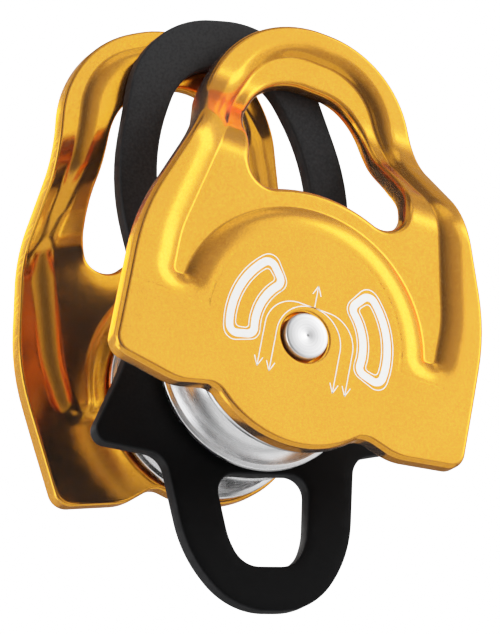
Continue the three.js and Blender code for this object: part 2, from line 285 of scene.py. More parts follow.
def finished(name, points, faces, material, body, nodes=(), crease=35, edges=None):
    """A mesh in the row frame from points in millimetres round the axle, with its normals put right."""
    mesh = bpy.data.meshes.new(name)
    metres = (np.asarray(points, float) + (0, 0, -EYE_TOP)) * MM
    mesh.from_pydata(metres.tolist(), [], faces)
    if edges is not None:
        mesh.attributes.new("edge", "FLOAT", "POINT").data.foreach_set("value", np.array(edges, np.float32))
    work = bmesh.new()
    work.from_mesh(mesh)
    bmesh.ops.remove_doubles(work, verts=work.verts, dist=1e-7)
    bmesh.ops.recalc_face_normals(work, faces=work.faces)
    work.to_mesh(mesh)
    work.free()
    mesh.shade_smooth()
    mesh.set_sharp_from_angle(angle=math.radians(crease))
    mesh.materials.append(material)
    made = bpy.data.objects.new(name, mesh)
    bpy.context.scene.collection.objects.link(made)
    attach(made, body)
    if nodes:
        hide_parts(*nodes)


def spun(profile, segments):
    """Points and faces of a closed (radius, y) profile turned round the axle."""
    profile = np.asarray(profile, float)
    angles = np.linspace(0, 2 * math.pi, segments, endpoint=False)
    points = [(r * math.cos(a), y, r * math.sin(a)) for a in angles for r, y in profile]
    n = len(profile)
    faces = []
    for s in range(segments):
        here, there = s * n, (s + 1) % segments * n
        for i in range(n):
            j = (i + 1) % n
            if profile[i, 0] > 1e-9 or profile[j, 0] > 1e-9:
                faces.append((here + i, here + j, there + j, there + i))
    return points, faces


def triangulated(loops, free):
    """Delaunay triangles over closed loops and free points: coordinates, triangles, each loop's indices."""
    points = np.vstack([*loops, free])
    edges, first = [], 0
    for loop in loops:
        edges += [(first + i, first + (i + 1) % len(loop)) for i in range(len(loop))]
        first += len(loop)
    flat = [Vector(p) for p in points]
    made, _, faces, origins, _, _ = delaunay_2d_cdt(flat, edges, [], 0, 1e-7)
    where = {old: new for new, olds in enumerate(origins) for old in olds}
    indices, first = [], 0
    for loop in loops:
        indices.append([where[first + i] for i in range(len(loop))])
        first += len(loop)
    return np.array([(v.x, v.y) for v in made]), np.array(faces), indices


def strip(one, other):
    """Faces between two rings of indices of the same length."""
    count = len(one)
    return [(one[i], other[i], other[(i + 1) % count], one[(i + 1) % count]) for i in range(count)]


# ---- centre plate ------------------------------------------------------------------------------------


def centre_plate(material):
    """The flat plate, its edges lightly rounded."""
    outline = evenly(centre_outline, CENTRE_SPACING)
    holes = [evenly(eye_outline, CENTRE_SPACING), evenly(slot_outline, CENTRE_SPACING),
             circle(BORE_R, CENTRE_BORE_SIDES)]
    steps = round_steps(CENTRE_ROUND, CENTRE_ROWS)
    rings = [offsets(outline, steps)] + [offsets(hole, -steps) for hole in holes]
    grid = hex_grid(CENTRE_LOW, CENTRE_HIGH, CENTRE_GRID)
    clear = inside_distance(outline, grid) > CENTRE_CLEAR
    for hole in holes:
        clear &= inside_distance(hole, grid) < -CENTRE_CLEAR
    flat, triangles, loops = triangulated([outline, *holes], np.vstack([*rings, grid[clear]]))
    middles = flat[triangles].mean(1)
    kept = inside_distance(outline, middles) > 0
    for hole in holes:
        kept &= inside_distance(hole, middles) < 0
    triangles = triangles[kept]
    depth = inside_distance(outline, flat)
    for hole in holes:
        depth = np.minimum(depth, -inside_distance(hole, flat))
    height = CENTRE_HALF - rounding(np.maximum(depth, 0), CENTRE_ROUND)
    near = np.stack([flat[:, 0], -height, flat[:, 1]], 1)
    far = near * (1, -1, 1)
    faces = [tuple(t) for t in triangles] + [tuple(t[::-1] + len(flat)) for t in triangles]
    for loop in loops:
        faces += strip(loop, [i + len(flat) for i in loop])
    # painted highlight: a share that greys the black along the rounded edges, standing in for their glint
    painted_edge_highlight = smoothstep(-depth, -CENTRE_ROUND, 0)
    finished("centre_plate_metal", np.vstack([near, far]), faces, material,
             "frame", ["centre_plate"], crease=60, edges=np.tile(painted_edge_highlight, 2))


# ---- side plates -------------------------------------------------------------------------------------


def joggle(z, first_r=BEND_R, second_r=BEND_R):
    """How far one face of the sheet has come in from plate to loop: two bends with a straight between.

    The bends' radii are the outer face's unless others are given; the straight is the same for both faces.
    """
    drop, run = PLATE_FACE - LOOP_FACE, RAMP_HIGH - RAMP_LOW
    over = 2 * BEND_R - drop
    steep = math.atan2(run, over) - math.acos(2 * BEND_R / math.hypot(run, over))
    bend = first_r * math.sin(steep)
    first = np.clip(z - RAMP_LOW, 0, bend)
    straight = np.clip(z - RAMP_LOW - bend, 0, run - 2 * BEND_R * math.sin(steep))
    last = np.clip(RAMP_HIGH - z, 0, second_r * math.sin(steep))
    fallen = first_r - np.sqrt(first_r**2 - first**2) + straight * math.tan(steep)
    return fallen + np.sqrt(second_r**2 - last**2) - second_r * math.cos(steep)


def side_plate_points(outline, hole, pan):
    """Free points over a side plate: rows along its edges and bends, and an even grid between them."""
    edge_rows = [
        offsets(outline, [*round_steps(EDGE_IN, EDGE_ROWS), EDGE_IN + EDGE_GUARD]),
        offsets(hole, [-d for d in (*round_steps(HOLE_IN, HOLE_ROWS), HOLE_IN + EDGE_GUARD)]),
    ]
    crease = [(x, FLAT_EDGE_Z + d) for x in np.arange(CREASE_FROM, CREASE_TO, CREASE_SPACING)
              for d in CREASE_ROWS]
    rows = [
        *edge_rows,
        offsets(pan, PAN_ROWS),
        *(circle(COUNTERBORE_R + d, BORE_SIDES) for d in (*round_steps(BORE_ROUND, BORE_ROWS), BORE_GUARD)),
        *(circle(FLAT_R + d, FLAT_SIDES) for d in CREASE_ROWS),
        np.array(crease + [(-x, z) for x, z in crease]),
    ]
    grid = hex_grid(SIDE_LOW, SIDE_HIGH, SIDE_GRID)
    free = np.vstack([*rows, grid])
    order = np.arange(len(free))
    on_edge = order < sum(len(row) for row in edge_rows)
    on_grid = order >= len(free) - len(grid)

    into, out_of = inside_distance(outline, free), -inside_distance(hole, free)
    step = inside_distance(pan, free)
    radius = np.hypot(*free.T)
    keep = (into > SLIVER) & (out_of > SLIVER) & (radius > COUNTERBORE_R + 2 * SLIVER)
    keep &= on_edge | ((into > EDGE_IN + EDGE_CLEAR) & (out_of > HOLE_IN + HOLE_CLEAR))
    roomy = ((step < PAN_CLEAR[0]) | (step > PAN_CLEAR[1])) & (radius > COUNTERBORE_R + BORE_CLEAR)
    by_line = (np.abs(free[:, 1] - FLAT_EDGE_Z) < CREASE_CLEAR) & (radius > FLAT_R)
    creased = (np.abs(radius - FLAT_R) < CREASE_CLEAR) | by_line
    return free[keep & (~on_grid | (roomy & ~creased))]


def sheet_faces(flat, outline, hole, pan):
    """How far from the pulley's middle plane the sheet's outer and inner faces stand at each point."""
    into = np.maximum(inside_distance(outline, flat), 0)
    out_of = np.maximum(-inside_distance(hole, flat), 0)
    radius, z = np.hypot(*flat.T), flat[:, 1]
    slope = (joggle(z + SLOPE_STEP) - joggle(z - SLOPE_STEP)) / (2 * SLOPE_STEP)
    lean = np.hypot(1, slope)
    within = inside_distance(pan, flat) - STEP_AT
    in_loop = joggle(z) / (PLATE_FACE - LOOP_FACE)
    deep = 1 + (LOOP_PAN_DEPTH / PAN_DEPTH - 1) * in_loop
    back_deep = 1 + (LOOP_BACK_DEPTH / PAN_DEPTH - 1) * in_loop
    top_r = STEP_TOP_R + (LOOP_TOP_R - STEP_TOP_R) * in_loop
    recess = bent(within, PAN_DEPTH, top_r, STEP_FOOT_R) * deep * lean
    shift = SHEET * np.sqrt(1 - (1 - PAN_DEPTH / (top_r + STEP_FOOT_R))**2)
    back_recess = bent(within + shift, PAN_DEPTH, top_r - SHEET, STEP_FOOT_R + SHEET) * back_deep * lean

    beyond = np.clip(np.minimum(radius - FLAT_R, z - FLAT_EDGE_Z), 0, FLAT_FALL_REACH)
    off_flat = np.where(z > FLAT_EDGE_Z, np.abs(radius - FLAT_R), np.inf)
    off_flat = np.minimum(off_flat, np.where(radius > FLAT_R, np.abs(z - FLAT_EDGE_Z), np.inf))
    line = CREASE_DEPTH * np.clip(1 - off_flat / CREASE_HALF, 0, 1)
    fall = np.maximum(rounding(into, EDGE_IN, EDGE_DOWN), rounding(out_of, HOLE_IN, HOLE_DOWN))
    fall = np.maximum(fall, rounding(np.maximum(radius - COUNTERBORE_R, 0), BORE_ROUND))
    outer = PLATE_FACE - joggle(z) - recess - fall * lean - FLAT_FALL * beyond - line
    back_fall = np.maximum(rounding(into, BACK_ROUND), rounding(out_of, BACK_ROUND))
    inner = PLATE_FACE - SHEET - joggle(z, BEND_R - SHEET, BEND_R + SHEET) - back_recess + back_fall * lean
    return outer, inner


def formed_plate():
    """Points and faces of a side plate towards -Y: a formed sheet with rounded edges and its bore."""
    outline, hole = evenly(side_outline, SIDE_SPACING), evenly(hole_outline, HOLE_SPACING)
    pan = evenly(pan_outline, PAN_SPACING)
    head_edge, bore_edge = circle(COUNTERBORE_R, BORE_SIDES), circle(BORE_R, BORE_SIDES)
    flat, triangles, loops = triangulated([outline, hole, head_edge, bore_edge],
                                          side_plate_points(outline, hole, pan))
    outer, inner = sheet_faces(flat, outline, hole, pan)

    middles = flat[triangles].mean(1)
    in_plate = (inside_distance(outline, middles) > 0) & (inside_distance(hole, middles) < 0)
    radius, flat_side = np.hypot(*middles.T), math.cos(math.pi / BORE_SIDES)
    front = triangles[in_plate & (radius > COUNTERBORE_R * flat_side)]
    back = triangles[in_plate & (radius > BORE_R * flat_side)]
    n = len(flat)
    faces = [tuple(t) for t in front] + [tuple(t[::-1] + n) for t in back]
    for loop in loops[:2]:
        faces += strip(loop, [i + n for i in loop])
    x, z = flat.T
    points = np.vstack([np.stack([x, -outer, z], 1), np.stack([x, -inner, z], 1)])
    seat = np.full(BORE_SIDES, -(HEAD_SEAT - GAP))
    rims = [np.stack([ring[:, 0], seat, ring[:, 1]], 1) for ring in (head_edge, bore_edge)]
    upper = list(range(2 * n, 2 * n + BORE_SIDES))
    lower = [i + BORE_SIDES for i in upper]
    faces += strip(loops[2], upper) + strip(upper, lower) + strip(lower, [i + n for i in loops[3]])
    return np.vstack([points, *rims]), faces


def placed(points, end):
    """Points of the front plate, leant to its rest angle and, for the rear one, turned half round."""
    lean = math.radians(TILT[end] if end == "front" else -TILT[end])
    turn = Matrix.Rotation(lean, 3, "Y")
    if end == "rear":
        turn = Matrix.Rotation(math.pi, 3, "Z") @ turn
    return np.asarray(points) @ np.array(turn).T


# ---- printed marks -----------------------------------------------------------------------------------

MARK_X = 0.75                            # the printed diagram is centred this far right of the axle
MARK_RAISE, MARK_SPACING = 0.02, 0.25
FINE_LINE, BAND = 0.16, 1.4
WINDOW_IN, WINDOW_MIDDLE, WINDOW_OUT = 10.4, 12.7, 15.1   # radii of the blank window beside the axle
WINDOW_FROM, WINDOW_TO, WINDOW_FILLET = 129.5, 195, 1.4
WINDOW_GROW, FILLET_GROW = 1.1, 0.6      # from its band to its fine lines, and their fillets' share of it
ARCH_TOP, ARROW_TOP = 5.65, 9.8
ROPES = ((8.5, 5.6, -8.0), (6.15, 6.1, -8.2))             # half width, corner fillet and foot of each path


def stroke(points, width, closed=False):
    """A line of this width in X and Z as a thin raised band on the plate's flat face."""
    line = np.asarray(points, float)
    if closed:
        along = np.roll(line, -1, 0) - np.roll(line, 1, 0)
    else:
        along = np.gradient(line, axis=0)
    across = np.stack([-along[:, 1], along[:, 0]], 1) / np.hypot(*along.T)[:, None] * width / 2
    n = len(line)
    rows = []
    for side, height in ((1, -MARK_RAISE), (1, MARK_RAISE), (-1, MARK_RAISE), (-1, -MARK_RAISE)):
        edge = line + across * side
        rows.append(np.stack([edge[:, 0], np.full(n, -PLATE_FACE - height), edge[:, 1]], 1))
    faces = []
    for i in range(n if closed else n - 1):
        j = (i + 1) % n
        for k in range(4):
            m = (k + 1) % 4
            faces.append((k * n + i, k * n + j, m * n + j, m * n + i))
    if not closed:
        faces += [(0, n, 2 * n, 3 * n), (n - 1, 2 * n - 1, 3 * n - 1, 4 * n - 1)]
    return np.vstack(rows), faces


def sector(inner, outer, start, end, fillet, steps=24):
    """A closed annular sector with rounded corners, its angles in degrees."""
    corners = []
    for arc in (arc_points(outer, start, end, steps), arc_points(inner, end, start, steps)):
        for i, (x, z, _) in enumerate(arc):
            if i in (0, steps):
                corners.append((x, z, fillet))
            elif 2 < i < steps - 2:      # two points left out at each end make room for the fillet
                corners.append((x, z, 0))
    return evenly(rounded(corners), MARK_SPACING)


def arrow_head(tip, direction, length=1.9, spread=25):
    """The two barbs of an arrow that points in a direction, in degrees from +X."""
    barbs = []
    for side in (-1, 1):
        angle = math.radians(direction + 180 + side * spread)
        end = (tip[0] + length * math.cos(angle), tip[1] + length * math.sin(angle))
        barbs.append(np.linspace(tip, end, 3))
    return barbs


def rope_path(half_width, corner, foot):
    """Up one leg, over the arch and down the other."""
    half = [(half_width, foot, 0), (half_width, ARCH_TOP, corner)]
    return rounded(half + [(-x, z, fillet) for x, z, fillet in half[::-1]])


def plate_marks(material):
    """The thin printed diagram: a window outline on each side, two rope paths and the pull arrow."""
    lines = []
    for mirror in (1, -1):
        for grow, width in ((0, BAND), (WINDOW_GROW, FINE_LINE), (-WINDOW_GROW, FINE_LINE)):
            swing = math.degrees(grow / WINDOW_MIDDLE)
            loop = sector(WINDOW_IN - grow, WINDOW_OUT + grow, WINDOW_FROM - swing, WINDOW_TO + swing,
                          WINDOW_FILLET + grow * FILLET_GROW)
            lines.append((loop * (mirror, 1), width, True))
    for half_width, corner, foot in ROPES:
        lines.append((rope_path(half_width, corner, foot), FINE_LINE, False))
        for side in (-1, 1):
            lines += [(barb, FINE_LINE, False) for barb in arrow_head((side * half_width, foot), -90)]
    lines.append((np.linspace((0, ARCH_TOP), (0, ARROW_TOP), 5), FINE_LINE, False))
    lines += [(barb, FINE_LINE, False) for barb in arrow_head((0, ARROW_TOP), 90)]
    points, faces = [], []
    for line, width, closed in lines:
        made, sides = stroke(line + np.array((MARK_X, 0)), width, closed)
        first = sum(len(p) for p in points)
        points.append(made)
        faces += [tuple(i + first for i in face) for face in sides]
    finished("front_plate_marks", placed(np.vstack(points), "front"), faces, material, "front_plate")


# ---- turned pieces -----------------------------------------------------------------------------------


def sheave_profile():
    """A grooved wheel: flanges with softened rims, a shallow web recess and a shoulder for its bearing."""
    middle, half, soft = TREAD_R + GROOVE_R, SHEAVE_HALF, SHEAVE_ROUND
    angles = np.linspace(0, math.pi, 41)[1:-1]
    groove = [(middle - GROOVE_R * math.sin(a), -GROOVE_R * math.cos(a), 0) for a in angles]
    return rounded([
        (SEAT_R, -half, soft),
        (HUB_R, -half, soft),
        (HUB_R + WEB_RECESS, -half + WEB_RECESS, soft),
        (WEB_R, -half + WEB_RECESS, soft),
        (WEB_R + WEB_RECESS, -half, soft),
        (FLANGE_R, -half, RIM_ROUND),
        (FLANGE_R, -half + RIM_LAND, LAND_ROUND),
        (middle, -GROOVE_R, GROOVE_ROUND),
        *groove,
        (middle, GROOVE_R, GROOVE_ROUND),
        (FLANGE_R, half - RIM_LAND, LAND_ROUND),
        (FLANGE_R, half, RIM_ROUND),
        (WEB_R + WEB_RECESS, half, soft),
        (WEB_R, half - WEB_RECESS, soft),
        (HUB_R + WEB_RECESS, half - WEB_RECESS, soft),
        (HUB_R, half, soft),
        (SEAT_R - SHOULDER, half, soft),
        (SEAT_R - SHOULDER, RING_HALF + GAP, 0),
        (SEAT_R, RING_HALF + GAP, 0),
    ], arc_step=15)


def ring_profile(bore, land, side):
    """A bearing ring between its bore (or its outside) and its land, where the balls' race is cut.

    side is -1 for the inner ring, whose race opens outward, and 1 for the outer one.
    """
    reach = math.acos(abs(land - BALL_PITCH_R) / RACE_R)
    race = [(BALL_PITCH_R + side * RACE_R * math.cos(a), RACE_R * math.sin(a), 0)
            for a in np.linspace(-reach, reach, 17)]
    return rounded([(bore, -RING_HALF, RING_ROUND), (land, -RING_HALF, RING_LAND_ROUND), *race,
                    (land, RING_HALF, RING_LAND_ROUND), (bore, RING_HALF, RING_ROUND)], arc_step=22)


def sleeve_profile(inner, outer, half, soft=SLEEVE_ROUND):
    """A plain sleeve or disc between two radii, its edges softened."""
    return rounded([(inner, -half, soft), (outer, -half, soft), (outer, half, soft), (inner, half, soft)],
                   arc_step=22)


def axle_profile():
    """Half of the riveted pin's outline, end to end: heads with a soft rim, a turned mark in the middle."""
    end = [(r, AXLE_END - depth) for r, depth in CENTRE_MARK]
    end += [(AXLE_HEAD_R - inward, AXLE_END - depth) for inward, depth in HEAD_RIM]
    end += [(AXLE_HEAD_R, HEAD_SEAT), (AXLE_R, HEAD_SEAT)]
    return [(r, -y) for r, y in end] + end[::-1]


def ball_profile():
    """Half of a ball's outline."""
    angles = np.linspace(0, math.pi, BALL_STEPS + 1)
    return [(BALL_R * math.sin(a), -BALL_R * math.cos(a)) for a in angles]


def turned_piece(name, profile, y, segments, material, body):
    """A lathe-turned piece that stands for the CAD node of the same name."""
    points, faces = spun(profile, segments)
    finished(f"{name}_fine", np.asarray(points) + (0, y, 0), faces, material, body, [name])


# ---- finishes, in metres -----------------------------------------------------------------------------

BUMP_DISTANCE = 0.00002
PAINTED_LIGHT_FADE = 0.075                      # painted light: the centre plate goes from grey to black over this height, lighter at the top where more light falls


def wire(tree, kind, inputs=None, **settings):
    """Adds a shader node, sets its fields and inputs, and returns its first output."""
    made = tree.nodes.new(kind)
    for key, value in settings.items():
        setattr(made, key, value)
    for key, value in (inputs or {}).items():
        if isinstance(value, bpy.types.NodeSocket):
            tree.links.new(value, made.inputs[key])
        else:
            made.inputs[key].default_value = value
    return made.outputs[0]


def new_finish(name):
    """A material with a bare surface shader: material, node tree, shader and object coordinates."""
    material = bpy.data.materials.new(name)
    material.use_nodes = True
    tree = material.node_tree
    tree.nodes.clear()
    surface = tree.nodes.new("ShaderNodeBsdfPrincipled")
    output = tree.nodes.new("ShaderNodeOutputMaterial")
    tree.links.new(surface.outputs[0], output.inputs[0])
    coordinates = tree.nodes.new("ShaderNodeTexCoord").outputs["Object"]
    return material, tree, surface, coordinates


def noise(tree, coordinates, scale, detail=2.0):
    """Smooth noise at a scale in features per metre."""
    return wire(tree, "ShaderNodeTexNoise", {"Vector": coordinates, "Scale": scale, "Detail": detail})


def ranged(tree, value, low, high, start=0.3, stop=0.7):
    """A value that runs from start to stop, as most noise does, spread over low to high."""
    return wire(tree, "ShaderNodeMapRange",
                {"Value": value, "From Min": start, "From Max": stop, "To Min": low, "To Max": high})


def mixed(tree, share, one, other):
    """From one colour to the other as the share goes from 0 to 1. The first may be a socket."""
    node = tree.nodes.new("ShaderNodeMix")
    node.data_type = "RGBA"
    tree.links.new(share, node.inputs["Factor"])
    if isinstance(one, bpy.types.NodeSocket):
        tree.links.new(one, node.inputs["A"])
    else:
        node.inputs["A"].default_value = (*one, 1)
    node.inputs["B"].default_value = (*other, 1)
    return node.outputs["Result"]


def bump(tree, surface, strength, height):
    """Fine relief on a surface."""
    bumped = wire(tree, "ShaderNodeBump", {"Strength": strength, "Distance": BUMP_DISTANCE, "Height": height})
    tree.links.new(bumped, surface.inputs["Normal"])


def axle_distance(tree, coordinates):
    """Distance from the axle's line and place along it, in metres, for turned finishes."""
    split = tree.nodes.new("ShaderNodeSeparateXYZ")
    tree.links.new(coordinates, split.inputs[0])
    height = wire(tree, "ShaderNodeMath", {0: split.outputs["Z"], 1: EYE_TOP * MM}, operation="ADD")
    flat = wire(tree, "ShaderNodeCombineXYZ", {"X": split.outputs["X"], "Y": height})
    length = tree.nodes.new("ShaderNodeVectorMath")
    length.operation = "LENGTH"
    tree.links.new(flat, length.inputs[0])
    return length.outputs["Value"], split.outputs["Y"]


def gold_anodised(name, light, deep, tint, roughness, grain):
    """Bead-blasted and anodised aluminium: a fine speckle in the dye, a fine grain and a clear oxide layer."""
    material, tree, surface, place = new_finish(name)
    cloud = noise(tree, place, 90, 3)
    fleck = noise(tree, place, 2600, 2)
    blend = wire(tree, "ShaderNodeMath", {0: cloud, 1: 0.35, 2: fleck}, operation="MULTIPLY_ADD")
    share = ranged(tree, blend, 0.0, 1.0, 0.48, 0.87)
    tree.links.new(mixed(tree, share, light, deep), surface.inputs["Base Color"])
    tree.links.new(ranged(tree, noise(tree, place, 700, 4), *roughness), surface.inputs["Roughness"])
    surface.inputs["Metallic"].default_value = 1.0
    surface.inputs["Specular Tint"].default_value = (*tint, 1)
    surface.inputs["Coat Weight"].default_value = 0.75
    surface.inputs["Coat Roughness"].default_value = 0.7
    bump(tree, surface, grain, noise(tree, place, 4200, 3))
    return material


def black_anodised(name, light, deep, edge_highlight_grey, roughness, grain):
    """Matt black anodising with painted light: greyer towards the eye at the top, where more light falls, and
    of one grey along its edges, a painted edge highlight.
    """
    material, tree, surface, place = new_finish(name)
    split = tree.nodes.new("ShaderNodeSeparateXYZ")
    tree.links.new(place, split.inputs[0])
    mottle = noise(tree, place, 2200, 5)
    # painted light: black at the bottom running to grey at the top, as if more light fell on the top
    high = ranged(tree, split.outputs["Z"], 0.0, 1.0, -PAINTED_LIGHT_FADE, 0.0)
    share = wire(tree, "ShaderNodeMath", {0: high, 1: ranged(tree, mottle, 0.7, 1.15)}, operation="MULTIPLY")
    body = mixed(tree, share, deep, light)
    # painted highlight: one grey along the edges, broken up by noise
    edge = tree.nodes.new("ShaderNodeAttribute")
    edge.attribute_name = "edge"
    painted_edge_highlight = wire(tree, "ShaderNodeMath",
                  {0: edge.outputs["Fac"], 1: ranged(tree, noise(tree, place, 400, 4), 0.3, 1.0)},
                  operation="MULTIPLY")
    tree.links.new(mixed(tree, painted_edge_highlight, body, edge_highlight_grey), surface.inputs["Base Color"])
    tree.links.new(ranged(tree, noise(tree, place, 900, 4), *roughness), surface.inputs["Roughness"])
    surface.inputs["Specular IOR Level"].default_value = 0.05
    bump(tree, surface, grain, noise(tree, place, 3600, 3))
    return material


def turned_metal(name, colour, roughness, lines, strength):
    """Turned metal: fine tool lines round the axle, a few scuffs and a little dulling."""
    material, tree, surface, place = new_finish(name)
    radius, y = axle_distance(tree, place)
    along = wire(tree, "ShaderNodeMath", {0: radius, 1: y}, operation="ADD")
    tool = wire(tree, "ShaderNodeTexNoise", {"W": along, "Scale": lines, "Detail": 3.0}, noise_dimensions="1D")
    dull = noise(tree, place, 260, 4)
    darker = tuple(c * 0.82 for c in colour)
    tree.links.new(mixed(tree, ranged(tree, tool, 0, 1), colour, darker), surface.inputs["Base Color"])
    spread = wire(tree, "ShaderNodeMath", {0: tool, 1: dull}, operation="ADD")
    tree.links.new(ranged(tree, spread, *roughness, 0.7, 1.3), surface.inputs["Roughness"])
    surface.inputs["Metallic"].default_value = 1.0
    scuff = noise(tree, place, 1800, 4)
    height = wire(tree, "ShaderNodeMath", {0: scuff, 1: 0.5, 2: tool}, operation="MULTIPLY_ADD")
    bump(tree, surface, strength, height)
    return material


def bare_metal(name, light, deep, roughness):
    """Metal laid bare through the dye: a fine satin."""
    material, tree, surface, place = new_finish(name)
    grain = ranged(tree, noise(tree, place, 2400, 3), 0, 1)
    tree.links.new(mixed(tree, grain, light, deep), surface.inputs["Base Color"])
    tree.links.new(ranged(tree, noise(tree, place, 1500, 3), *roughness), surface.inputs["Roughness"])
    surface.inputs["Metallic"].default_value = 1.0
    return material


def moulded(name, light, deep, roughness):
    """Moulded rubber or plastic with a fine matt skin."""
    material, tree, surface, place = new_finish(name)
    cloud = ranged(tree, noise(tree, place, 500, 4), 0, 1)
    tree.links.new(mixed(tree, cloud, light, deep), surface.inputs["Base Color"])
    tree.links.new(ranged(tree, noise(tree, place, 1500, 3), *roughness), surface.inputs["Roughness"])
    surface.inputs["Specular IOR Level"].default_value = 0.5
    bump(tree, surface, 0.25, noise(tree, place, 3000, 2))
    return material


# Colours are linear red, green and blue; roughness is a range.
finishes = {
    "gold_anodised": gold_anodised("gold_anodised", (0.95, 0.352, 0.020), (0.82, 0.282, 0.012),
                                   (1.0, 0.7, 0.38), (0.14, 0.20), 0.05),
    # the black's grey top is painted light, and its edge grey is a painted edge highlight
    "black_anodised": black_anodised("black_anodised", (0.034, 0.0345, 0.036), (0.0018, 0.0018, 0.0020),
                                     (0.012, 0.012, 0.013), (0.42, 0.52), 0.25),
    "turned_aluminium": turned_metal("turned_aluminium", (0.96, 0.96, 0.97), (0.20, 0.32), 7000, 0.12),
    "steel": turned_metal("steel", (0.86, 0.86, 0.87), (0.30, 0.42), 3600, 0.22),
    "bearing_steel": turned_metal("bearing_steel", (0.76, 0.76, 0.78), (0.1, 0.2), 12000, 0.05),
    "seal_rubber": moulded("seal_rubber", (0.02, 0.02, 0.022), (0.012, 0.012, 0.013), (0.5, 0.65)),
    "polymer": moulded("polymer", (0.72, 0.69, 0.6), (0.64, 0.6, 0.5), (0.4, 0.55)),
    "marks": bare_metal("marks", (0.98, 0.98, 0.97), (0.95, 0.95, 0.93), (0.40, 0.50)),
}

# ---- the object --------------------------------------------------------------------------------------

steel, hard, rubber = finishes["steel"], finishes["bearing_steel"], finishes["seal_rubber"]
polymer = finishes["polymer"]

centre_plate(finishes["black_anodised"])
turned_piece("axle", axle_profile(), 0, TURNED_SIDES, steel, "frame")

plate_points, plate_faces = formed_plate()
for end in ("front", "rear"):
    finished(f"{end}_side_plate_metal", placed(plate_points, end), plate_faces, finishes["gold_anodised"],
             f"{end}_plate", [f"{end}_side_plate"], crease=50)

ring_near, ring_far = SHEAVE_Y - RING_HALF - GAP, SHEAVE_Y + RING_HALF + GAP
washer_far = PLATE_FACE - SHEET - GAP
washer_near = washer_far - WASHER_THICK
for end, side in (("front", -1), ("rear", 1)):
    station, wheel = side * SHEAVE_Y, f"{end}_wheel"
    outline = np.asarray(sheave_profile()) * (1, -side)                # its shoulder is on the inner side
    turned_piece(f"{end}_sheave", outline, station, SHEAVE_SIDES, finishes["turned_aluminium"],
                 wheel)
    turned_piece(f"{end}_bearing_inner_ring", ring_profile(RING_BORE_R, INNER_LAND_R, -1), station,
                 TURNED_SIDES, hard, "frame")
    turned_piece(f"{end}_bearing_outer_ring", ring_profile(RING_OUTER_R, OUTER_LAND_R, 1), station,
                 OUTER_RING_SIDES, hard, wheel)
    seal = sleeve_profile(INNER_LAND_R + GAP, OUTER_LAND_R - GAP, SEAL_THICK / 2, SEAL_ROUND)
    for place, outside in (("outer", 1), ("inner", -1)):
        off_middle = side * outside * (RING_HALF - SEAL_INSET - SEAL_THICK / 2)
        turned_piece(f"{end}_bearing_{place}_seal", seal, station + off_middle, TURNED_SIDES,
                     rubber, wheel)
    for index in range(BALLS):
        node = f"{end}_bearing_ball_{index + 1}"
        low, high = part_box(node)
        centre = np.array((low + high) / 2) / MM + (0, 0, EYE_TOP)
        points, faces = spun(ball_profile(), BALL_SIDES)
        finished(f"{node}_fine", np.asarray(points) + centre, faces, hard,
                 f"{end}_balls", [node])
    for piece, outer, near, far, finish, slot in (
        ("inner_spacer", SPACER_R, CENTRE_HALF + GAP, ring_near, steel, "steel"),
        ("outer_spacer", SPACER_R, ring_far, washer_near - GAP, steel, "steel"),
        ("thrust_washer", WASHER_R, washer_near, washer_far, polymer, "polymer"),
    ):
        sleeve = sleeve_profile(BORE_R, outer, (far - near) / 2)
        turned_piece(f"{end}_{piece}", sleeve, side * (near + far) / 2, TURNED_SIDES, finish, "frame")
    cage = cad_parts[f"{end}_bearing_cage"]
    cage.data.materials.clear()
    cage.data.materials.append(polymer)

plate_marks(finishes["marks"])

# ---- studio, in metres and degrees -------------------------------------------------------------------

MIDDLE = Vector((0, 0, -0.045))          # of the object
DOME_DISTANCE, DOME_STEP = 10.0, 3.0
FLOOR_Z, FLOOR_SIZE, FLOOR_LIGHT, FLOOR_DEEP = -1.2, 2.4, (0.88,) * 3, (0.85,) * 3
LAMP_Z, LAMP_SIZE, LAMP_WATTS = 1.4, 0.9, 9.0
WHITE_LEVEL = 2.2                        # the background's strength, and what the view shows as white
SHOULDER_RATE = 1.3
SHOULDER_POINTS = (0.02, 0.05, 0.09, 0.15, 0.23, 0.33, 0.46, 0.62, 0.8)
WALL_GLOW, CEILING_DROP, CEILING_FROM, CEILING_FULL = 0.50, 0.36, 60, 76  # the ceiling glows less
CAMERA_SHADE = 0.82                      # the share of the walls' glow that is missing round the camera
SHADE_AZIMUTHS, SHADE_ELEVATIONS = (-56, -50, -32, 14), (-44, -32, 44, 62)

# Soft rectangles of light on the dome: strength, azimuths, elevations and the width of the soft edge.
# Azimuth 0 is in front and 90 at the right. The camera's shade dims the wall patches and not the others.
WALL_PATCHES = (
    (-0.26, (90, 180), (-34, -6), 8),
    (0.25, (-180, -118), (-20, 42), 14),
)
LIGHT_PATCHES = (
    (0.55, (26, 112), (-20, 42), 9),
    (0.44, (24, 72), (-2, 40), 8),
    (2.60, (44, 62), (8, 34), 9),
    (0.60, (0, 46), (58, 70), 6),
    (0.50, (-115, -60), (18, 40), 8),
    (2.40, (-100, -72), (-20, 12), 7),
    (1.90, (-140, -108), (-45, -12), 10),
    (3.60, (-176, -162), (15, 26), 4),
)

VIEW_AZIMUTH, VIEW_ELEVATION, VIEW_ROLL = -27.63, -14.92, -5.45
VIEW_DISTANCE, VIEW_TARGET = 0.8, (1.323, 0, 9.774)       # metres, and millimetres round the axle
SENSOR_WIDTH, FOCAL_LENGTH = 36, 258.8                    # millimetres in the camera


def direction(azimuth, elevation):
    """From the object towards azimuth 0 in front (-Y) and 90 at the right, elevation above the horizon."""
    a, e = math.radians(azimuth), math.radians(elevation)
    return Vector((math.sin(a) * math.cos(e), -math.cos(a) * math.cos(e), math.sin(e)))


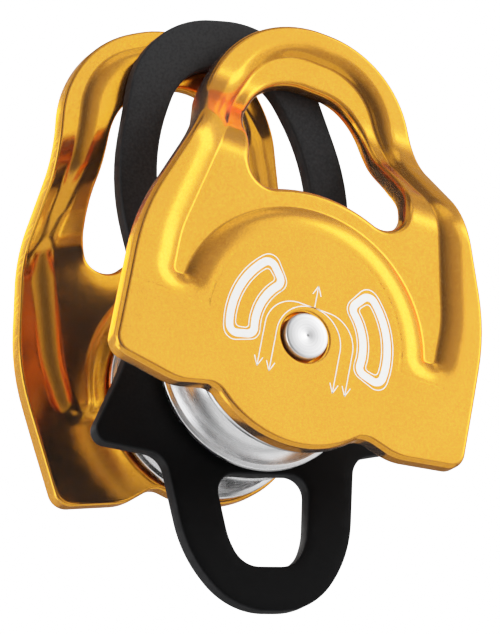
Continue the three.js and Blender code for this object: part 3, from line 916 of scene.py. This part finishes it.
def plateau(value, start, full, fade, stop):
    """1 from full to fade, 0 before start and after stop, and smooth between."""
    return smoothstep(value, start, full) * (1 - smoothstep(value, fade, stop))


def patches(rows, azimuth, elevation):
    """The light of these soft rectangles in a direction."""
    total = 0
    for strength, (left, right), (low, high), soft in rows:
        across = plateau(azimuth, left - soft, left, right, right + soft)
        total += strength * across * plateau(elevation, low - soft, low, high, high + soft)
    return total


def glow(azimuth, elevation):
    """How bright the studio is in a direction: pale walls, soft boxes at both sides, dark by the camera."""
    level = WALL_GLOW - CEILING_DROP * smoothstep(elevation, CEILING_FROM, CEILING_FULL)
    level += patches(WALL_PATCHES, azimuth, elevation)
    level *= 1 - CAMERA_SHADE * plateau(azimuth, *SHADE_AZIMUTHS) * plateau(elevation, *SHADE_ELEVATIONS)
    return level + patches(LIGHT_PATCHES, azimuth, elevation)


def dome():
    """The studio's walls and soft boxes, seen only in reflections and as light."""
    azimuths, elevations = np.arange(-180, 180, DOME_STEP), np.arange(-90, 90.1, DOME_STEP)
    points = [MIDDLE + direction(a, e) * DOME_DISTANCE for e in elevations for a in azimuths]
    n = len(azimuths)
    faces = [(j * n + i, j * n + (i + 1) % n, (j + 1) * n + (i + 1) % n, (j + 1) * n + i)
             for j in range(len(elevations) - 1) for i in range(n)]
    mesh = bpy.data.meshes.new("studio_dome")
    mesh.from_pydata([tuple(p) for p in points], [], faces)
    levels = [glow(a, e) for e in elevations for a in azimuths]
    mesh.attributes.new("glow", "FLOAT", "POINT").data.foreach_set("value", np.array(levels, np.float32))
    material = bpy.data.materials.new("studio_dome")
    material.use_nodes = True
    tree = material.node_tree
    tree.nodes.clear()
    level = tree.nodes.new("ShaderNodeAttribute")
    level.attribute_name = "glow"
    light = wire(tree, "ShaderNodeEmission", {"Strength": level.outputs["Fac"]})
    tree.links.new(light, tree.nodes.new("ShaderNodeOutputMaterial").inputs[0])
    material.cycles.emission_sampling = "NONE"
    mesh.materials.append(material)
    made = bpy.data.objects.new("studio_dome", mesh)
    bpy.context.scene.collection.objects.link(made)
    made.visible_camera = False


def studio():
    """A white background, a pale floor well below the hanging object, a lamp above it, and the dome."""
    world = bpy.data.worlds.new("studio")
    bpy.context.scene.world = world
    world.use_nodes = True
    background = world.node_tree.nodes["Background"]
    background.inputs["Color"].default_value = (1, 1, 1, 1)
    background.inputs["Strength"].default_value = WHITE_LEVEL

    pale, tree, surface, place = new_finish("pale_floor")
    shade = mixed(tree, ranged(tree, noise(tree, place, 3, 2), 0, 1), FLOOR_LIGHT, FLOOR_DEEP)
    tree.links.new(shade, surface.inputs["Base Color"])
    surface.inputs["Roughness"].default_value = 0.8
    bpy.ops.mesh.primitive_plane_add(size=FLOOR_SIZE, location=(0, 0, FLOOR_Z))
    floor = bpy.context.object
    floor.name = "floor"
    floor.data.materials.append(pale)
    bpy.ops.object.light_add(type="AREA", location=(0, 0, LAMP_Z))
    lamp = bpy.context.object
    lamp.name = "top_lamp"
    lamp.data.shape, lamp.data.size, lamp.data.energy = "DISK", LAMP_SIZE, LAMP_WATTS
    lamp.visible_glossy = lamp.visible_camera = False
    dome()


def camera():
    """The main view, from the left and below, rolled a little."""
    target = Vector((VIEW_TARGET[0], VIEW_TARGET[1], VIEW_TARGET[2] - EYE_TOP)) * MM
    back = direction(VIEW_AZIMUTH, VIEW_ELEVATION)
    right = Vector((math.cos(math.radians(VIEW_AZIMUTH)), math.sin(math.radians(VIEW_AZIMUTH)), 0))
    up = back.cross(right)
    c, s = math.cos(math.radians(VIEW_ROLL)), math.sin(math.radians(VIEW_ROLL))
    turn = Matrix((c * right + s * up, c * up - s * right, back)).transposed().to_4x4()
    lens = bpy.data.cameras.new("camera")
    lens.sensor_width, lens.lens = SENSOR_WIDTH, FOCAL_LENGTH
    made = bpy.data.objects.new("camera", lens)
    made.matrix_world = Matrix.Translation(target + back * VIEW_DISTANCE) @ turn
    bpy.context.scene.collection.objects.link(made)
    bpy.context.scene.camera = made


def tone():
    """A plain view with a soft shoulder, as film has: white is reached at WHITE_LEVEL."""
    view = bpy.context.scene.view_settings
    view.view_transform = "Standard"
    view.look = "None"
    view.use_curve_mapping = True
    mapping = view.curve_mapping
    mapping.white_level = (WHITE_LEVEL,) * 3
    combined, rate = mapping.curves[3], SHOULDER_RATE * WHITE_LEVEL
    for x in SHOULDER_POINTS:
        combined.points.new(x, (1 - math.exp(-rate * x)) / (1 - math.exp(-rate)))
    mapping.update()


studio()
camera()
tone()
